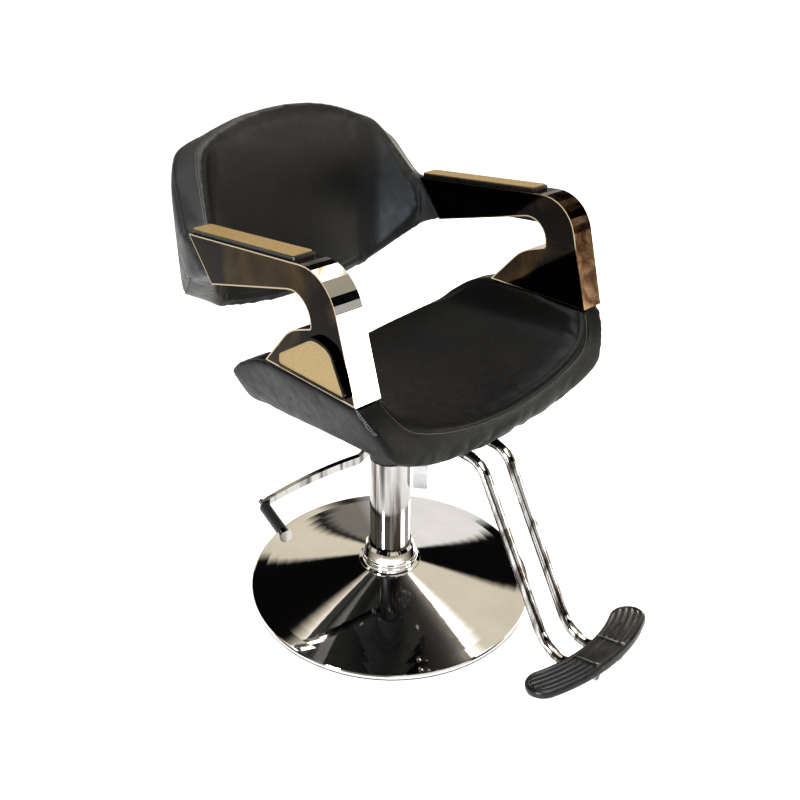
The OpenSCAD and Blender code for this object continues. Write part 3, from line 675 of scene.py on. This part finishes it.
back_nodes = ["back_board", "back_cushion", "back_rear_pad", "back_border"]
back_body = remeshed("back_upholstery", back_nodes, 0.005)
relaxed(back_body, 5)
swollen(back_body, 4, 0.004)
relaxed(back_body, 4)
back_body = subdivided(back_body)
for upper, reach in ((True, 0.31), (False, 0.3)):
    pressed(back_body, back_line(0.09, 0, upper, reach), 0.0016, 0.0024)
    pressed(back_body, back_line(0.93, 0, upper, reach), 0.002, 0.003)
smile = [p + np.array([0, 0, 0.03]) for p in back_line(0, 0, False, 0.17, 80)]
pressed(back_body, smile, 0.0016, 0.003, 0.001, 0.009)
soft_piece(back_body, back_nodes, LEATHER_PAINTED_LIGHT)
band_stitches = [on_surface(back_body, back_line(t, 0, upper, 0.3), 0.003, 0.0002)
                 for t in (0.17, 0.26) for upper in (True, False)]
along("back_stitches", STITCHES, band_stitches, SEAT, "leather",
      Spacing=0.0045, Length=0.003, Thickness=0.0005, Material=THREAD)
rear_edges = [on_surface(back_body, back_line(0.98, 0, upper, 0.3), 0.006) for upper in (True, False)]
along("back_piping", PIPING, rear_edges, SEAT, "leather",
      Radius=0.002, Sides=8, Material=LEATHER_PAINTED_LIGHT)

# ---------------------------------------------------------------- foot plate

TILT = math.radians(16)
PLATE_MID = 0.2865
PLATE_HALF = 0.0315
PLATE_CENTRE = 0.257
PLATE_END = math.radians(24.4)
PLATE_THICK = 0.0125
PLATE_UNDER = 0.0098
PLATE_Y = foot_low[1] + 0.0559
PLATE_Z = foot_high[2] - 0.0382
RIBS = (-0.0165, -0.0055, 0.0055, 0.0165)


def plate_ring(d):
    """The foot plate's crescent seen from above, moved in by d."""
    w = PLATE_HALF - d
    ring = []
    for a in np.linspace(-PLATE_END, PLATE_END, 130):
        ring.append(((PLATE_MID + w) * math.sin(a), PLATE_CENTRE - (PLATE_MID + w) * math.cos(a)))
    for side in (1, -1):
        cx, cy = side * PLATE_MID * math.sin(PLATE_END), PLATE_CENTRE - PLATE_MID * math.cos(PLATE_END)
        start = side * PLATE_END + (0 if side == 1 else math.pi)
        for a in np.linspace(0, math.pi, 34)[1:-1]:
            ring.append((cx + w * math.sin(start + a), cy - w * math.cos(start + a)))
        if side == 1:
            for a in np.linspace(PLATE_END, -PLATE_END, 130):
                ring.append(((PLATE_MID - w) * math.sin(a), PLATE_CENTRE - (PLATE_MID - w) * math.cos(a)))
    return ring


def bead(x, middle, width):
    return math.exp(-((x - middle) / width) ** 4)


def tread(x, v, d):
    """Height of the tread's pattern: ribs on the wings, cross ridges with knobs, a raised rim."""
    out = math.hypot(x, PLATE_CENTRE - v) - PLATE_MID
    a = abs(x)
    rise = -0.004 * (1 - math.sqrt(1 - (1 - min(1, d / 0.004)) ** 2)) + 0.001 * bead(d, 0.005, 0.0026)
    wing = min(1, max(0, (a - 0.041) / 0.004)) * min(1, max(0, (d - 0.0085) / 0.002))
    rise += wing * (0.0018 * max(bead(out, r, 0.0031) for r in RIBS) - 0.0008)
    rise += 0.0018 * bead(a, 0.0355, 0.0026) * bead(out, 0, 0.0245)
    rise += 0.0016 * bead(math.hypot(a - 0.0355, out - 0.021), 0, 0.0048)
    return rise


def plate_point(x, v, w):
    up = w + PLATE_UNDER
    return (x, PLATE_Y + v * math.cos(TILT) + up * math.sin(TILT),
            PLATE_Z - v * math.sin(TILT) + up * math.cos(TILT))


rings = [[plate_point(x, v, 0.003) for x, v in plate_ring(d)] for d in (PLATE_HALF, 0.0081)]
for d, w in ((0.0081, 0), (0.001, 0), (0, 0.001), (0, 0.005)):
    rings.append([plate_point(x, v, w) for x, v in plate_ring(d)])
for d in np.concatenate([np.linspace(0, 0.008, 12), np.linspace(0.0088, PLATE_HALF, 26)]):
    rings.append([plate_point(x, v, PLATE_THICK + tread(x, v, d)) for x, v in plate_ring(d)])
count = len(rings[0])
plate_faces = []
for i in range(len(rings) - 1):
    for k in range(count):
        here, after = i * count, (k + 1) % count
        plate_faces.append((here + k, here + after, here + count + after, here + count + k))
plate = mesh_object("foot_plate_rubber", [p for ring in rings for p in ring], plate_faces, WORN_RUBBER)
bm = bmesh.new()
bm.from_mesh(plate.data)
bmesh.ops.remove_doubles(bm, verts=bm.verts, dist=0.00002)
bmesh.ops.recalc_face_normals(bm, faces=bm.faces)
bm.to_mesh(plate.data)
bm.free()
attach(plate, SEAT)
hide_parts("foot_plate_pad")

# ---------------------------------------------------------------- floor, light and camera

span = 60.0
floor_corners = [(-span, -span, 0), (span, -span, 0), (span, span, 0), (-span, span, 0)]
floor = mesh_object("floor", floor_corners, [(0, 1, 2, 3)])
fl = Shader("pale_floor", (0.93, 0.93, 0.93), 0.8, Specular_IOR_Level=0.1)
fl.color(fl.noise(1.5, 2), [(0.3, (0.925, 0.925, 0.925)), (0.7, (0.94, 0.94, 0.94))])
dress(floor, fl.material)


def area(name, place, aim, size, power, color=(1, 1, 1)):
    light = bpy.data.lights.new(name, "AREA")
    light.shape = "RECTANGLE"
    light.size, light.size_y = size
    light.energy = power
    light.color = color
    ob = bpy.data.objects.new(name, light)
    ob.location = place
    ob.rotation_euler = (Vector(aim) - Vector(place)).to_track_quat("-Z", "Y").to_euler()
    scene.collection.objects.link(ob)


area("key", (-1.2, -1.8, 3.0), (0, 0, 0.6), (1.8, 1.4), 34, (1, 0.98, 0.95))
area("top", (0.2, 0.4, 3.0), (0, 0, 0.4), (2.4, 2.4), 34)
area("low_front", (1.9, -2.6, 0.75), (0, 0.25, 0.85), (1.5, 0.6), 18, (1, 0.98, 0.93))
area("cool_side", (-2.9, -0.5, 0.6), (0.25, 0.2, 0.8), (0.5, 0.9), 62, (0.8, 0.89, 1))
area("warm_side", (3.0, 0.7, 0.75), (-0.1, 0.2, 0.8), (0.9, 1.0), 45, (1, 0.92, 0.8))

world = bpy.data.worlds.new("studio")
scene.world = world
world.use_nodes = True
wt = world.node_tree
back = wt.nodes["Background"]


def wall(stops, height):
    """A ramp of light and dark studio walls by the height that a ray looks up to."""
    ramp = wt.nodes.new("ShaderNodeValToRGB")
    while len(ramp.color_ramp.elements) < len(stops):
        ramp.color_ramp.elements.new(0.5)
    for e, (place, value) in zip(ramp.color_ramp.elements, stops):
        e.position = place
        e.color = (*value, 1)
    wt.links.new(height, ramp.inputs["Fac"])
    return ramp.outputs["Color"]


BRIGHT, WHITE, CREAM = (2.7, 2.72, 2.75), (0.95, 0.93, 0.9), (0.82, 0.76, 0.64)
GREY, DARK = (0.3, 0.285, 0.26), (0.01, 0.01, 0.01)
ray = wt.nodes.new("ShaderNodeTexCoord").outputs["Generated"]
split = wt.nodes.new("ShaderNodeSeparateXYZ")
wt.links.new(ray, split.inputs["Vector"])
height = split.outputs["Z"]
right_wall = wall([(0.0, CREAM), (0.1, DARK), (0.15, DARK), (0.17, WHITE), (0.38, WHITE), (0.41, DARK),
                   (0.6, DARK), (0.63, CREAM), (0.8, CREAM), (0.86, BRIGHT), (1.0, BRIGHT)], height)
left_wall = wall([(0.0, CREAM), (0.1, DARK), (0.15, DARK), (0.17, GREY), (0.3, GREY), (0.33, DARK),
                  (0.36, CREAM), (0.5, CREAM), (0.53, DARK), (0.78, DARK), (0.81, CREAM), (0.86, BRIGHT),
                  (1.0, BRIGHT)], height)
side = wt.nodes.new("ShaderNodeVectorMath")
side.operation = "DOT_PRODUCT"
side.inputs[1].default_value = (0.7567, -0.6538, 0)
wt.links.new(ray, side.inputs[0])
share = wt.nodes.new("ShaderNodeMapRange")
share.inputs["From Min"].default_value = -0.05
share.inputs["From Max"].default_value = 0.05
wt.links.new(side.outputs["Value"], share.inputs["Value"])
walls = wt.nodes.new("ShaderNodeMix")
walls.data_type = "RGBA"
wt.links.new(share.outputs["Result"], walls.inputs[0])
wt.links.new(left_wall, walls.inputs[6])
wt.links.new(right_wall, walls.inputs[7])
wt.links.new(walls.outputs[2], back.inputs["Color"])
back.inputs["Strength"].default_value = 0.74

camera_data = bpy.data.cameras.new("camera")
camera = bpy.data.objects.new("camera", camera_data)
scene.collection.objects.link(camera)
heading, tilt, roll = math.radians(-40.827), math.radians(28.453), math.radians(-0.674)
forward = Vector((-math.sin(heading) * math.cos(tilt), math.cos(heading) * math.cos(tilt), -math.sin(tilt)))
right = forward.cross(Vector((0, 0, 1))).normalized()
up = right.cross(forward)
side = right * math.cos(roll) + up * math.sin(roll)
rise = up * math.cos(roll) - right * math.sin(roll)
turn = Matrix((side, rise, -forward)).transposed()
camera.matrix_world = Matrix.Translation((-1.0267, -1.1059, 1.2608)) @ turn.to_4x4()
camera_data.sensor_width = 36
camera_data.lens = 39.54
camera_data.shift_x = 0.0463
camera_data.shift_y = -0.0006
scene.camera = camera
